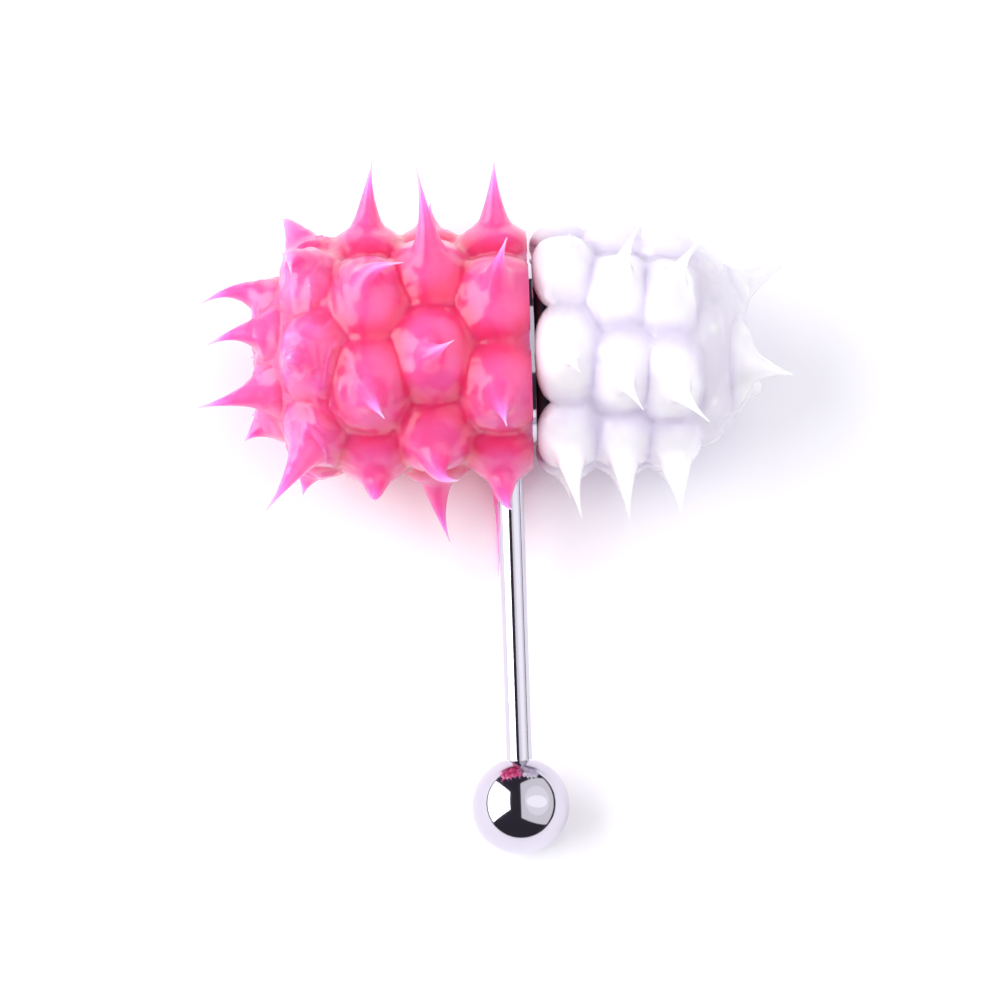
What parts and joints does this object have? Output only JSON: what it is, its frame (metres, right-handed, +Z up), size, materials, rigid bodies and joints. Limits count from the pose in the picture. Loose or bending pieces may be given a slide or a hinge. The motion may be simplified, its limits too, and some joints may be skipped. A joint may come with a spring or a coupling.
{
  "type": "tongue barbell",
  "caption": "Tongue barbell lying on its side: a steel screw capsule in spiky silicone sleeves, with a straight post and a screw-on ball.",
  "frame": {"origin": "middle of the part's outline, on the surface that it lies on", "axes": "+Z up; +X along the capsule, from the pink sleeve to the white one; -Y from the capsule towards the ball"},
  "size_m": [0.0376, 0.0422, 0.0192],
  "materials": {
    "steel": "polished",
    "seal": "satin",
    "silicone_pink": "gloss",
    "silicone_white": "gloss"
  },
  "bodies": {
    "body": {"capsule_body": "steel", "seal_ring": "seal", "post": "steel", "pink_sleeve": "silicone_pink"},
    "cap": {"capsule_cap": "steel", "white_sleeve": "silicone_white"},
    "ball": {"ball": "steel"}
  },
  "joints": [
    {"name": "cap_turn", "type": "hinge", "parent": "body", "child": "cap", "pos_m": [0.00274, 0.00949, 0.00795], "axis": [1, 0, 0], "range_deg": [0, 180]},
    {"name": "ball_off", "type": "slide", "parent": "body", "child": "ball", "axis": [0, -0.9843, -0.1765], "range_m": [0, 0.02]}
  ]
}
